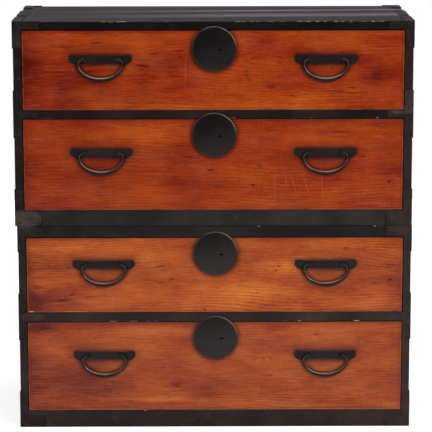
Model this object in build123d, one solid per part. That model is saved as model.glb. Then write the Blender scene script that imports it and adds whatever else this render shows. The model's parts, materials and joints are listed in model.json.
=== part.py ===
from build123d import *
import math
import os
from collections import namedtuple

# Isho clothing chest: two wooden cases stacked on each other, each with two drawers. Millimetres.
# Everything is modelled with y = 0 on the front edges of the boards and y growing towards the back,
# then moved so that the origin is the centre of the bounding box's underside: +X to the right,
# -Y the side that the drawers open to, +Z up.

# ---------------------------------------------------------------- driving sizes: the two cases
case_depth = 456.0          # front edge to back face, wood only
upper_width = 1046.0        # outer faces of the side boards
width_step = 4.0            # the lower case is this much narrower
lower_offset_x = 3.0        # and stands this far to the right of the upper one
upper_side_t = 22.0
lower_side_t = 20.0

lower_base_h = 46.0         # front rail under drawer 4
drawer_4_opening = 244.5
lower_rail_h = 25.0         # front rail between drawers 4 and 3
drawer_3_opening = 204.0
lower_top_t = 30.0

upper_base_h = 43.0         # front rail under drawer 2
drawer_2_opening = 244.0
upper_rail_h = 22.0         # front rail between drawers 2 and 1
drawer_1_opening = 211.0
upper_top_t = 22.0

rail_depth = 32.0           # front to back, all front rails
shelf_t = 12.0              # shelf boards behind the rails
base_board_t = 14.0         # bottom boards behind the base rails
housing_d = 8.0             # how far shelves and rails reach into the side boards
back_t = 9.0                # back planks
back_rebate_w = 10.0        # width of the rebate in the side boards that holds the back planks
back_planks = 3             # per case
top_fingers = 9             # fingers and gaps in each corner joint of a top board

# ---------------------------------------------------------------- driving sizes: the drawers
drawer_recess = 2.5         # fronts lie this far behind the front edges of the case
drawer_side_gap = 2.0
drawer_top_gap = 2.0
drawer_run_gap = 0.5        # under the drawer
drawer_rear_gap = 9.0       # behind the closed drawer
front_t = 20.0
front_lip_t = 8.0           # wood left in front of the rebates at the ends and lower edge of a front
drawer_side_t = 11.0
drawer_back_t = 10.0
drawer_bottom_t = 8.0
drawer_side_drop = 3.0      # the sides end this far below the top of the front
drawer_back_inset = 12.0    # back board to rear end of the sides
drawer_dado_d = 4.0         # how far the back board reaches into the sides

# ---------------------------------------------------------------- driving sizes: the locks
lock_offset_x = 2.0         # right of the case's middle
lock_down = 44.0            # plate centre below the top of the opening
lock_1_down = 50.0          # the same for drawer 1, under the thin top board
lock_r = 59.0               # round plate
lock_rim_t = 2.6
lock_rim_w = 2.4
lock_rim_bevel = 1.2
lock_rim_groove = 0.5
lock_dome_h = 4.6
lock_dome_steps = 5         # rings of the dome
lock_rail_clearance = 0.6   # behind the part of the plate that overlaps the rail above
lock_pad_inset = 5.0        # the plate's pad is this much smaller in radius
lock_pad_rail_gap = 2.5     # top of the pad to the rail above
keyhole_x = 18.0            # from the plate's centre
keyhole_down = 2.0
keyhole_r = 2.6
keyhole_slot_l = 6.5
keyhole_slot_h = 3.0
lock_case_w = 70.0
lock_case_h = 50.0
lock_case_t = 12.0
lock_case_wall = 1.5
lock_case_down = 8.0        # top of the lock case below the top edge of the front
bolt_w = 16.0
bolt_t = 5.0
bolt_body_w = 30.0
bolt_body_down = 21.0       # shoulders of the bolt below the top edge of the front
bolt_head_down = 0.5        # end of the drawn-back bolt below the top edge
bolt_gap = 0.3
bolt_travel = 8.0
bolt_mortise_gap = 1.0      # around the bolt in the wood above
bolt_mortise_extra = 1.5    # beyond the end of the thrown bolt

# ---------------------------------------------------------------- driving sizes: handles
handle_end_inset = 204.0    # middle of each handle from the end of its drawer's front
handle_1_down = 78.0        # pivot axis below the top of the opening
handle_2_down = 92.0
handle_3_down = 75.0
handle_4_down = 94.0
plate_t = 1.6
plate_half = 83.0
plate_top = 9.5             # upper edge above the pivot axis, between the eyes
plate_end_top = 12.0        # and at the ends
plate_flare_x = 65.0        # where the upper edge has nearly risen to the ends
plate_flare_drop = 0.6
plate_tip_h = 13.0          # blunt tip at each end
plate_tip_in = 2.5
plate_cut_x = 76.5          # slanting cut from the tip down to the lobe
plate_cut_low = 8.5
plate_low = 8.5             # lower edge below the pivot axis, between the eyes
plate_lobe_low = 14.5       # and in the lobes
plate_lobe_out = 66.5
plate_lobe_out_rise = 1.5
plate_lobe_mid = 58.0
plate_lobe_in = 50.0
plate_lobe_in_drop = 1.5
plate_lobe_end = 43.0
plate_corner_r = 1.0
plate_tip_r = 3.5           # both corners of each tip
rosette_r = 18.0
rosette_edge = 0.8
eye_r = 6.0                 # cotter eyes
eye_hole_r = 2.9
eye_w = 5.0
shank_r = 2.2
shank_hole_gap = 0.2
leg_len = 14.0              # each clinched leg
leg_w = 2.6
leg_t = 1.6
leg_recess_gap = 0.3
pivot_r = 2.4
knob_r = 3.6
knob_tip_r = 2.0
knob_len = 5.0              # eye to the knob's tip
knob_round = 1.4            # length of the knob's rounded tip
knob_neck = 0.6             # eye to the knob's foot
shoulder_gap = 1.5          # eye to the bail's shoulder bend
bail_eye_x = 45.5           # drawer bails: eye centre from the middle
bail_half_w = 59.0          # centre line
bail_drop = 52.0
bail_end_r = 3.0
bail_mid_r = 5.5
bend_steps = 3              # sections in a bail's shoulder bend
grip_steps = 7              # and in each half of its grip
side_eye_x = 56.0           # carrying bails on the side boards
side_half_w = 71.0
side_drop = 56.0
side_mid_r = 5.4
side_handle_up = 368.0      # pivot axis above the bottom of its case

# ---------------------------------------------------------------- driving sizes: irons and nails
iron_t = 2.0
iron_wrap = 46.0            # along the side or back from an upright edge
iron_floor_gap = 1.0
top_corner_h = 70.0
top_arm_l = 68.0
middle_iron_h = 125.0
middle_arm_l = 67.0
base_corner_h = 98.0
base_arm_l = 68.0
upper_base_arm_h = 41.0
lower_base_arm_h = 32.0
arm_margin = 2.0            # arm to the edges of its rail
rear_iron_h = 70.0
strap_w = 24.0              # straps folded over the top side edges: width on top and on the side
front_strap_l = 120.0
strap_nail_y = 64.0         # first nail of a front strap, behind the front edge
middle_strap_l = 140.0
rear_strap_l = 66.0
nail_head_r = 2.7
nail_head_top_r = 1.6
nail_head_h = 1.1
nail_r = 1.1
nail_len = 11.0             # under the head
nail_edge = 8.0             # nail to the end of an iron

# ---------------------------------------------------------------- what follows from the sizes
lower_width = upper_width - width_step
lower_height = lower_base_h + drawer_4_opening + lower_rail_h + drawer_3_opening + lower_top_t
upper_height = upper_base_h + drawer_2_opening + upper_rail_h + drawer_1_opening + upper_top_t
axis_standoff = plate_t + eye_r             # bail pivot axis from the wood
handle_reach = axis_standoff + bail_mid_r - drawer_recess
back_reach = case_depth + iron_t + nail_head_h
front_y = (handle_reach - back_reach) / 2   # where y = 0 goes when the part is centred
drawer_back_y = case_depth - back_t - drawer_rear_gap

Case = namedtuple(
    "Case", "name floor_z centre_x width side_t base_h rail_h top_t height low_opening base_arm_h")
lower = Case("lower", 0.0, lower_offset_x, lower_width, lower_side_t, lower_base_h, lower_rail_h,
             lower_top_t, lower_height, drawer_4_opening, lower_base_arm_h)
upper = Case("upper", lower_height, 0.0, upper_width, upper_side_t, upper_base_h, upper_rail_h,
             upper_top_t, upper_height, drawer_2_opening, upper_base_arm_h)

Drawer = namedtuple("Drawer", "name case floor_z opening handle_down lock_down")


def rail_top(case):
    """Height of the top of the rail between the two drawers of a case."""
    return case.floor_z + case.base_h + case.low_opening + case.rail_h


def top_z(case):
    return case.floor_z + case.height


drawers = [
    Drawer("drawer_1", upper, rail_top(upper), drawer_1_opening, handle_1_down, lock_1_down),
    Drawer("drawer_2", upper, upper.floor_z + upper_base_h, drawer_2_opening, handle_2_down, lock_down),
    Drawer("drawer_3", lower, rail_top(lower), drawer_3_opening, handle_3_down, lock_down),
    Drawer("drawer_4", lower, lower.floor_z + lower_base_h, drawer_4_opening, handle_4_down, lock_down),
]


# ---------------------------------------------------------------- helpers
def block(x, y, z):
    """Box between a low and a high value on each axis."""
    low, high = zip(*(sorted(pair) for pair in (x, y, z)))
    size = [b - a for a, b in zip(low, high)]
    return Pos(*low) * Box(*size, align=(Align.MIN, Align.MIN, Align.MIN))


def from_side(case, side, a, b):
    """X values at a and b, measured inwards from the outer face of the left (-1) or right (+1) board."""
    outer = case.centre_x + side * case.width / 2
    return (outer - side * a, outer - side * b)


def inner_x(case, inset):
    """X range between the side boards, narrowed by inset at each end."""
    half = case.width / 2 - case.side_t - inset
    return (case.centre_x - half, case.centre_x + half)


def group(solids):
    return Compound(children=solids)


# ---------------------------------------------------------------- case boards
def top_board(case):
    """Full-width board whose ends keep every even finger of the corner joint."""
    z = (top_z(case) - case.top_t, top_z(case))
    half = case.width / 2
    board = block((case.centre_x - half, case.centre_x + half), (0, case_depth), z)
    finger = case_depth / top_fingers
    for side in (-1, 1):
        for i in range(1, top_fingers, 2):
            gap = block(from_side(case, side, 0, case.side_t), (i * finger, (i + 1) * finger), z)
            board -= gap
    return board


def rail(case, z):
    return block(inner_x(case, -housing_d), (0, rail_depth), z)


def shelf_pieces(case):
    """Board between the drawers and the rail along its front edge."""
    top = rail_top(case)
    board = block(inner_x(case, -housing_d), (rail_depth, case_depth - back_t), (top - shelf_t, top))
    return [board, rail(case, (top - case.rail_h, top))]


def base_pieces(case):
    """Bottom board and the taller rail along its front edge."""
    top = case.floor_z + case.base_h
    board = block(inner_x(case, -housing_d), (rail_depth, case_depth - back_t), (top - base_board_t, top))
    return [board, rail(case, (case.floor_z, top))]


def back_pieces(case):
    """Planks that lie one above another in the rebates of the side boards."""
    plank_h = (case.height - case.top_t) / back_planks
    planks = []
    for i in range(back_planks):
        z = (case.floor_z + i * plank_h, case.floor_z + (i + 1) * plank_h)
        planks.append(block(inner_x(case, -back_rebate_w), (case_depth - back_t, case_depth), z))
    return planks


def side_board(case, side, fitted):
    """Side board, cut for every board and rail that is let into it."""
    x = from_side(case, side, 0, case.side_t)
    board = block(x, (0, case_depth), (case.floor_z, top_z(case)))
    for piece in fitted:
        board -= piece
    for cut in cotter_cuts(case.side_t, side_eye_x, True):
        board -= side_handle_place(case, side) * cut
    return board


# ---------------------------------------------------------------- handles, in a frame of their own
# The pivot axis is X, the wood's surface lies at y = axis_standoff, and the bail hangs towards -Z.
def octagon(x, z, angle, radius):
    """Octagonal section of a bail, square to a direction in the XZ plane."""
    direction = (math.cos(angle), 0, math.sin(angle))
    place = Plane(origin=(x, 0, z), x_dir=(0, 1, 0), z_dir=direction)
    return place * RegularPolygon(radius, 8, rotation=22.5)


def bail(eye_x, half_w, drop, mid_r):
    """Forged bar: knobs inside the eyes, round shoulders, and an elliptic grip thickest in its middle."""
    shoulder_x = eye_x + eye_w / 2 + shoulder_gap
    bend = half_w - shoulder_x
    inner_end = eye_x - eye_w / 2 - knob_len
    neck = inner_end + knob_len - knob_neck
    half = [
        (inner_end, 0, 0, knob_tip_r),
        (inner_end + knob_round, 0, 0, knob_r),
        (neck - knob_round, 0, 0, knob_r),
        (neck, 0, 0, pivot_r),
        (shoulder_x, 0, 0, pivot_r),
    ]
    for i in range(1, bend_steps + 1):
        turn = math.pi / 2 * i / bend_steps
        radius = pivot_r + (bail_end_r - pivot_r) * i / bend_steps
        half.append((shoulder_x + bend * math.sin(turn), bend * (math.cos(turn) - 1), -turn, radius))
    for i in range(1, grip_steps + 1):
        turn = math.pi / 2 * i / grip_steps
        x = half_w * math.cos(turn)
        z = -bend - (drop - bend) * math.sin(turn)
        along = math.atan2(-(drop - bend) * math.cos(turn), -half_w * math.sin(turn))
        radius = bail_end_r + (mid_r - bail_end_r) * math.sin(turn) ** 2
        half.append((x, z, along, radius))
    rings = half + [(-x, z, -angle, radius) for x, z, angle, radius in reversed(half[:-1])]
    return loft([octagon(*ring) for ring in rings], ruled=True)


def cotter(x, through):
    """Eye, shank through the wood and two legs clinched on the far side."""
    eye = Cylinder(eye_r, eye_w, rotation=(0, 90, 0))
    eye += Pos(0, (axis_standoff + through) / 2, 0) * Cylinder(
        shank_r, axis_standoff + through, rotation=(90, 0, 0))
    eye -= Cylinder(eye_hole_r, eye_w, rotation=(0, 90, 0))
    back = axis_standoff + through
    eye += block((-leg_len, leg_len), (back, back + leg_t), (-leg_w / 2, leg_w / 2))
    return Pos(x, 0, 0) * eye


def cotter_cuts(wood_t, eye_x, sunk_legs):
    """Holes for a pair of shanks, and recesses where the legs lie flush with the far face."""
    cuts = []
    for x in (-eye_x, eye_x):
        hole = Cylinder(shank_r + shank_hole_gap, wood_t, rotation=(90, 0, 0))
        cuts.append(Pos(x, axis_standoff + wood_t / 2, 0) * hole)
        if sunk_legs:
            far = axis_standoff + wood_t
            reach = leg_len + leg_recess_gap
            half = leg_w / 2 + leg_recess_gap
            recess_y = (far - leg_t - leg_recess_gap, far)
            cuts.append(block((x - reach, x + reach), recess_y, (-half, half)))
    return cuts


def backplate():
    """Long plate behind a drawer bail: thin in the middle, with a lobe cut away below at each end."""
    right = [
        (bail_eye_x, plate_top),
        (plate_flare_x, plate_end_top - plate_flare_drop),
        (plate_half - plate_tip_in, plate_end_top),
        (plate_half, plate_end_top - plate_tip_h),
        (plate_cut_x, -plate_cut_low),
        (plate_lobe_out, -plate_lobe_low + plate_lobe_out_rise),
        (plate_lobe_mid, -plate_lobe_low),
        (plate_lobe_in, -plate_low - plate_lobe_in_drop),
        (plate_lobe_end, -plate_low),
    ]
    left = [(-x, z) for x, z in reversed(right)]
    outline = make_face(Polyline(*right, *left, close=True))
    tips_from = (plate_cut_x + plate_half) / 2
    outline = fillet([v for v in outline.vertices() if abs(v.X) < tips_from], plate_corner_r)
    outline = fillet([v for v in outline.vertices() if abs(v.X) > tips_from], plate_tip_r)
    plate = extrude(Plane.XZ * outline, plate_t)
    plate = Pos(0, axis_standoff, 0) * plate
    for x in (-bail_eye_x, bail_eye_x):
        hole = Cylinder(shank_r + shank_hole_gap, 2 * plate_t, rotation=(90, 0, 0))
        plate -= Pos(x, axis_standoff, 0) * hole
    return plate


def rosette(x):
    """Small round plate behind one eye of a carrying bail."""
    disc = Cylinder(rosette_r, plate_t, rotation=(90, 0, 0))
    outer_rim = disc.edges().filter_by(GeomType.CIRCLE).sort_by(Axis.Y)[0]
    disc = chamfer(outer_rim, rosette_edge)
    disc -= Cylinder(shank_r + shank_hole_gap, plate_t, rotation=(90, 0, 0))
    return Pos(x, axis_standoff - plate_t / 2, 0) * disc


def handle_x(case, side):
    """X of the middle of a drawer's left (-1) or right (+1) handle."""
    front_half = case.width / 2 - case.side_t - drawer_side_gap
    return case.centre_x + side * (front_half - handle_end_inset)


def drawer_handle_place(drawer, side):
    z = drawer.floor_z + drawer.opening - drawer.handle_down
    return Pos(handle_x(drawer.case, side), drawer_recess - axis_standoff, z)


def side_handle_place(case, side):
    x = case.centre_x + side * (case.width / 2 + axis_standoff)
    return Pos(x, case_depth / 2, case.floor_z + side_handle_up) * Rot(0, 0, side * 90)


# ---------------------------------------------------------------- locks
def lock_centre(drawer):
    return (drawer.case.centre_x + lock_offset_x, drawer.floor_z + drawer.opening - drawer.lock_down)


def front_top(drawer):
    return drawer.floor_z + drawer.opening - drawer_top_gap


def keyhole(drawer):
    """Round hole with a slot towards the middle of the plate, through plate and front."""
    x, z = lock_centre(drawer)
    z -= keyhole_down
    y = (-drawer_recess - lock_dome_h, drawer_recess + front_t)
    cut = Pos(x + keyhole_x, sum(y) / 2, z) * Cylinder(keyhole_r, y[1] - y[0], rotation=(90, 0, 0))
    slot_x = (x + keyhole_x - keyhole_slot_l, x + keyhole_x)
    return cut + block(slot_x, y, (z - keyhole_slot_h / 2, z + keyhole_slot_h / 2))


def lock_plate(drawer):
    """Shallow domed disc with a raised rim. It overlaps the rail above, and a pad seats it on the front."""
    x, z = lock_centre(drawer)
    groove_r = lock_r - lock_rim_w
    floor_r = groove_r - lock_rim_groove
    floor_h = lock_rim_t - lock_rim_groove
    profile = [
        (0, 0),
        (lock_r, 0),
        (lock_r, lock_rim_t - lock_rim_bevel),
        (lock_r - lock_rim_bevel, lock_rim_t),
        (groove_r, lock_rim_t),
    ]
    for i in range(lock_dome_steps):
        share = i / lock_dome_steps
        profile.append((floor_r * (1 - share), floor_h + (lock_dome_h - floor_h) * share * (2 - share)))
    profile.append((0, profile[-1][1]))
    disc = Rot(90, 0, 0) * revolve(Plane.XZ * make_face(Polyline(*profile, close=True)), Axis.Z)
    plate = Pos(x, -lock_rail_clearance, z) * disc
    pad_t = lock_rail_clearance + drawer_recess
    pad = Cylinder(lock_r - lock_pad_inset, pad_t, rotation=(90, 0, 0))
    pad = Pos(x, drawer_recess - pad_t / 2, z) * pad
    pad_z = (z - lock_r, drawer.floor_z + drawer.opening - lock_pad_rail_gap)
    pad &= block((x - lock_r, x + lock_r), (-lock_rail_clearance, drawer_recess), pad_z)
    return plate + pad - keyhole(drawer)


def lock_case_space(drawer, shrink):
    """Pocket for the lock case in the back of the front, or with shrink the room inside the case."""
    x, z = lock_centre(drawer)
    top = front_top(drawer) - lock_case_down
    back = drawer_recess + front_t
    half = lock_case_w / 2 - shrink
    return block((x - half, x + half), (back - lock_case_t, back - shrink),
                 (top - lock_case_h + shrink, top - shrink))


def bolt_y(gap):
    """Depth range of the bolt, widened by gap on both sides."""
    middle = drawer_recess + front_t - (lock_case_t + lock_case_wall) / 2
    return (middle - bolt_t / 2 - gap, middle + bolt_t / 2 + gap)


def bolt_slot(drawer):
    """Slot for the bolt through the lock case's top wall and the front's top edge."""
    x, z = lock_centre(drawer)
    half = bolt_w / 2 + bolt_gap
    top = front_top(drawer)
    return block((x - half, x + half), bolt_y(bolt_gap), (top - lock_case_down - lock_case_wall, top))


def lock_case(drawer):
    """Iron box let into the back of the front, open towards the keyhole."""
    return lock_case_space(drawer, 0) - lock_case_space(drawer, lock_case_wall) - bolt_slot(drawer)


def lock_bolt(drawer):
    x, z = lock_centre(drawer)
    top = front_top(drawer)
    floor = top - lock_case_down - lock_case_h + lock_case_wall + bolt_gap
    body = block((x - bolt_body_w / 2, x + bolt_body_w / 2), bolt_y(0), (floor, top - bolt_body_down))
    return body + block((x - bolt_w / 2, x + bolt_w / 2), bolt_y(0), (floor, top - bolt_head_down))


def bolt_mortise(drawer):
    """Hole in the wood above a drawer that the thrown bolt enters."""
    x, z = lock_centre(drawer)
    half = bolt_w / 2 + bolt_mortise_gap
    low = drawer.floor_z + drawer.opening
    high = front_top(drawer) - bolt_head_down + bolt_travel + bolt_mortise_extra
    return block((x - half, x + half), bolt_y(bolt_mortise_gap), (low, high))


# ---------------------------------------------------------------- drawers
def drawer_pieces(drawer):
    """Front, sides, back and bottom of one drawer, cut to fit each other."""
    x = inner_x(drawer.case, drawer_side_gap)
    low = drawer.floor_z + drawer_run_gap
    rebate_y = drawer_recess + front_lip_t
    side_z = (low + drawer_bottom_t, front_top(drawer) - drawer_side_drop)
    bottom = block(x, (rebate_y, drawer_back_y), (low, low + drawer_bottom_t))
    back_front_y = drawer_back_y - drawer_back_inset - drawer_back_t
    back_x = (x[0] + drawer_side_t - drawer_dado_d, x[1] - drawer_side_t + drawer_dado_d)
    back = block(back_x, (back_front_y, back_front_y + drawer_back_t), side_z)
    sides = []
    for edge, direction in zip(x, (1, -1)):
        side = block((edge, edge + direction * drawer_side_t), (rebate_y, drawer_back_y), side_z)
        sides.append(side - back)
    end_rebate_z = (low + drawer_bottom_t, front_top(drawer))
    front = block(x, (drawer_recess, drawer_recess + front_t), (low, front_top(drawer)))
    front -= bottom
    for edge, direction in zip(x, (1, -1)):
        front -= block((edge, edge + direction * drawer_side_t), (rebate_y, drawer_back_y), end_rebate_z)
    front -= lock_case_space(drawer, 0) + bolt_slot(drawer) + keyhole(drawer)
    for side in (-1, 1):
        for cut in cotter_cuts(front_t, bail_eye_x, False):
            front -= drawer_handle_place(drawer, side) * cut
    return front, sides, back, bottom


# ---------------------------------------------------------------- irons and nails
nail_turn = {
    "front": (90, 0, 0),
    "back": (-90, 0, 0),
    "left": (0, -90, 0),
    "right": (0, 90, 0),
    "top": (0, 0, 0),
}


def nail(x, y, z, facing):
    """Nail with a low faceted dome of a head, its head's underside on the iron."""
    head = Pos(0, 0, nail_head_h / 2) * Cone(nail_head_r, nail_head_top_r, nail_head_h)
    shank = Pos(0, 0, -nail_len / 2) * Cylinder(nail_r, nail_len)
    return Pos(x, y, z) * Rot(*nail_turn[facing]) * (head + shank)


def side_word(side):
    return "left" if side < 0 else "right"


def nails_down(case, side, z, count, face):
    """Nails down the middle of an upright leg: on the front, the side or the back."""
    step = (z[1] - z[0] - 2 * nail_edge) / (count - 1)
    outer_x = from_side(case, side, -iron_t, 0)[0]
    leg_x = from_side(case, side, case.side_t / 2, 0)[0]
    nails = []
    for i in range(count):
        height = z[0] + nail_edge + i * step
        if face == "front":
            nails.append(nail(leg_x, -iron_t, height, "front"))
        elif face == "back":
            nails.append(nail(leg_x, case_depth + iron_t, height, "back"))
        elif face == "front_side":
            nails.append(nail(outer_x, iron_wrap - nail_edge, height, side_word(side)))
        else:
            nails.append(nail(outer_x, case_depth - iron_wrap + nail_edge, height, side_word(side)))
    return nails


def front_iron(case, side, z, arm_z, arm_l, leg_nails):
    """Bent iron on a front edge: an upright leg on the front and on the side, and an arm along a rail."""
    iron = block(from_side(case, side, -iron_t, case.side_t), (-iron_t, 0), z)
    iron += block(from_side(case, side, -iron_t, 0), (-iron_t, iron_wrap), z)
    iron += block(from_side(case, side, 0, arm_l), (-iron_t, 0), arm_z)
    nails = nails_down(case, side, z, leg_nails, "front")
    nails += nails_down(case, side, z, leg_nails, "front_side")
    for inset in (case.side_t + nail_edge, arm_l - nail_edge):
        x = from_side(case, side, inset, 0)[0]
        nails.append(nail(x, -iron_t, sum(arm_z) / 2, "front"))
    return iron, nails


def rear_iron(case, side, z, leg_nails):
    """Bent iron on a back edge."""
    y = (case_depth - iron_wrap, case_depth + iron_t)
    iron = block(from_side(case, side, -iron_t, 0), y, z)
    iron += block(from_side(case, side, -iron_t, iron_wrap), (case_depth, case_depth + iron_t), z)
    nails = nails_down(case, side, z, leg_nails, "back")
    nails += nails_down(case, side, z, leg_nails, "rear_side")
    return iron, nails


def top_strap(case, side, y, nail_y):
    """Strap folded over the edge between the top and a side."""
    top = top_z(case)
    iron = block(from_side(case, side, -iron_t, strap_w), y, (top, top + iron_t))
    iron += block(from_side(case, side, -iron_t, 0), y, (top - strap_w, top + iron_t))
    nails = []
    for at in nail_y:
        top_x, outer_x = from_side(case, side, strap_w - nail_edge, -iron_t)
        nails.append(nail(top_x, at, top + iron_t, "top"))
        nails.append(nail(outer_x, at, top - strap_w + nail_edge, side_word(side)))
    return iron, nails


def case_irons(case, straps):
    """All irons of a case and their nails. Straps over the top edges are for a case with nothing on it."""
    top = top_z(case)
    top_extra = iron_t if straps else 0
    middle = rail_top(case) - case.rail_h / 2
    base = case.floor_z + iron_floor_gap
    irons = []
    nails = []
    for side in (-1, 1):
        arm_z = (top - case.top_t + arm_margin, top + top_extra)
        corner, more = front_iron(case, side, (top - top_corner_h, top + top_extra), arm_z, top_arm_l, 3)
        rear, rear_more = rear_iron(case, side, (top - rear_iron_h, top + top_extra), 3)
        if straps:
            y = (-iron_t, front_strap_l)
            strap, strap_nails = top_strap(case, side, y, (strap_nail_y, front_strap_l - nail_edge))
            corner += strap
            more += strap_nails
            y = (case_depth - rear_strap_l, case_depth + iron_t)
            strap, strap_nails = top_strap(case, side, y, (case_depth - rear_strap_l + nail_edge,))
            rear += strap
            rear_more += strap_nails
            y = ((case_depth - middle_strap_l) / 2, (case_depth + middle_strap_l) / 2)
            strap, strap_nails = top_strap(case, side, y, (y[0] + nail_edge, sum(y) / 2, y[1] - nail_edge))
            irons.append(strap)
            nails += strap_nails
        irons += [corner, rear]
        nails += more + rear_more
        arm_z = (rail_top(case) - case.rail_h + arm_margin, rail_top(case) - arm_margin)
        z = (middle - middle_iron_h / 2, middle + middle_iron_h / 2)
        iron, more = front_iron(case, side, z, arm_z, middle_arm_l, 4)
        irons.append(iron)
        nails += more
        z = (base, case.floor_z + base_corner_h)
        iron, more = front_iron(case, side, z, (base, case.floor_z + case.base_arm_h), base_arm_l, 4)
        irons.append(iron)
        nails += more
        iron, more = rear_iron(case, side, (base, case.floor_z + rear_iron_h), 3)
        irons.append(iron)
        nails += more
    return irons, nails


# ---------------------------------------------------------------- assembly
nodes = {}


def add_handles(name, places, eye_x, half_w, drop, mid_r, wood_t, leg_sink, plates):
    """Plates and cotters as one node, and the left and right bails as nodes of their own."""
    mounts = []
    for word, place in zip(("left", "right"), places):
        nodes[f"{name}_{word}_bail"] = place * bail(eye_x, half_w, drop, mid_r)
        mounts += [place * plate for plate in plates]
        mounts += [place * cotter(x, wood_t - leg_sink) for x in (-eye_x, eye_x)]
    nodes[f"{name}_handle_mounts"] = group(mounts)


for case in (lower, upper):
    shelf = shelf_pieces(case)
    base = base_pieces(case)
    back = back_pieces(case)
    top = top_board(case)
    for drawer in drawers:
        if drawer.case is case:
            top -= bolt_mortise(drawer)
            shelf[1] -= bolt_mortise(drawer)
    sides = [side_board(case, side, [top] + shelf + base + back) for side in (-1, 1)]
    irons, nails = case_irons(case, straps=case is upper)
    nodes[f"{case.name}_side_boards"] = group(sides)
    nodes[f"{case.name}_top_board"] = top
    nodes[f"{case.name}_shelf"] = group(shelf)
    nodes[f"{case.name}_base"] = group(base)
    nodes[f"{case.name}_back_planks"] = group(back)
    nodes[f"{case.name}_corner_irons"] = group(irons)
    nodes[f"{case.name}_iron_nails"] = group(nails)
    rosettes = [rosette(x) for x in (-side_eye_x, side_eye_x)]
    places = [side_handle_place(case, side) for side in (-1, 1)]
    add_handles(f"{case.name}_side", places, side_eye_x, side_half_w, side_drop, side_mid_r,
                case.side_t, leg_t, rosettes)

for drawer in drawers:
    front, sides, back, bottom = drawer_pieces(drawer)
    nodes[f"{drawer.name}_front"] = front
    nodes[f"{drawer.name}_sides"] = group(sides)
    nodes[f"{drawer.name}_back"] = back
    nodes[f"{drawer.name}_bottom"] = bottom
    nodes[f"{drawer.name}_lock_plate"] = lock_plate(drawer)
    nodes[f"{drawer.name}_lock_case"] = lock_case(drawer)
    nodes[f"{drawer.name}_lock_bolt"] = lock_bolt(drawer)
    places = [drawer_handle_place(drawer, side) for side in (-1, 1)]
    add_handles(drawer.name, places, bail_eye_x, bail_half_w, bail_drop, bail_mid_r,
                front_t, 0, [backplate()])

os.makedirs("parts", exist_ok=True)
for name, shape in nodes.items():
    export_step(Pos(0, front_y, 0) * shape, f"parts/{name}.step")
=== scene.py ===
"""Looks of the isho clothing chest: two stacked lacquered cases with iron corners and four drawers.

Metres, in the row frame: origin on the floor under the middle of the chest, drawers towards -Y, +Z up.
"""
import json
import math

import bmesh
import bpy
from mathutils import Matrix, Vector, noise


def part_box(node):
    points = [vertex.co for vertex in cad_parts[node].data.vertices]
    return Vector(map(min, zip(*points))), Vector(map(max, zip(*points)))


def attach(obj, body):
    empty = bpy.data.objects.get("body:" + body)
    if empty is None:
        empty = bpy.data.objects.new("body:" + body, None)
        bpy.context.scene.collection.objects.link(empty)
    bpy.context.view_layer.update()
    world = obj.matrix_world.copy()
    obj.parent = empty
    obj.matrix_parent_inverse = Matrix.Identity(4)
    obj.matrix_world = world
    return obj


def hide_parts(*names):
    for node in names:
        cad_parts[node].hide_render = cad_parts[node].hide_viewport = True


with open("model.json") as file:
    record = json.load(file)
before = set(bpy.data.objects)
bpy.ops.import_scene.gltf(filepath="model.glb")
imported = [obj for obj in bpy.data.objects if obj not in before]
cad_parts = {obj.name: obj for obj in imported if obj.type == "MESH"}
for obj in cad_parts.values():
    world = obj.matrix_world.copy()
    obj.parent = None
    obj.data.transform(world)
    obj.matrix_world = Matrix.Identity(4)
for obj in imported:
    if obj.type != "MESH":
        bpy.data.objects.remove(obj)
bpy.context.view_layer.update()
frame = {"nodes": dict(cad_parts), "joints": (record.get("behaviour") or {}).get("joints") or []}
MM = 0.001

# ---------------------------------------------------------------- sizes taken from the frame
DRAWERS = ("drawer_1", "drawer_2", "drawer_3", "drawer_4")
CASES = ("upper", "lower")
front_plane_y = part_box("upper_side_boards")[0].y
joint_at = {j["name"]: j for j in frame["joints"]}

# ---------------------------------------------------------------- sizes of the camera
# Fitted to the photograph: the camera stands left of the middle and looks slightly down.
CAMERA_LEFT = 34 * MM
CAMERA_AWAY = 5.664           # in front of the cases' front plane
CAMERA_HEIGHT = 1.622
CAMERA_DOWN = math.radians(10.46)
CAMERA_RIGHT_TURN = math.radians(0.41)
CAMERA_ROLL = math.radians(-0.06)
SENSOR = 36.0
LENS = 181.5

# ---------------------------------------------------------------- studio
FLOOR_R = 3.4
NEAR_GLOW = 0.60
AMBIENT = 0.335
ROOM_GLOSS = 0.03

# ---------------------------------------------------------------- bails and boards, as on the part
EYE_X = 45.5 * MM
SIDE_EYE_X = 56 * MM
EYE_W = 5 * MM
PIVOT_R = 2.35 * MM
RAIL_H = {"upper": 22 * MM, "lower": 25 * MM}
BACK_PLANKS = 3               # in each case
DRAWER_BAIL_HALF_W = 59 * MM
DRAWER_BAIL_DROP = 52 * MM
DRAWER_BAIL_R = 5.5 * MM      # in the middle of the grip
SIDE_BAIL_HALF_W = 71 * MM
SIDE_BAIL_DROP = 56 * MM
SIDE_BAIL_R = 5.4 * MM
BAIL_END_R = 3.0 * MM
KNOB_L = 5 * MM               # from the eye to the knob's tip
SHOULDER_GAP = 1.5 * MM       # from the eye to the bail's bend
BEND_STEPS = 8
GRIP_STEPS = 28               # in each half of the grip


# ================================================================ mesh helpers
def add_object(name, mesh, material, body):
    """Links a mesh as a piece that rides on a body."""
    piece = bpy.data.objects.new(name, mesh)
    bpy.context.scene.collection.objects.link(piece)
    mesh.materials.append(material)
    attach(piece, body)
    return piece


def mesh_from(bm, name, smooth_angle=40):
    """Closes a bmesh into a mesh with outward normals, smooth except over sharp edges."""
    bmesh.ops.recalc_face_normals(bm, faces=bm.faces)
    mesh = bpy.data.meshes.new(name)
    bm.to_mesh(mesh)
    bm.free()
    for polygon in mesh.polygons:
        polygon.use_smooth = True
    mesh.set_sharp_from_angle(angle=math.radians(smooth_angle))
    return mesh


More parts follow.
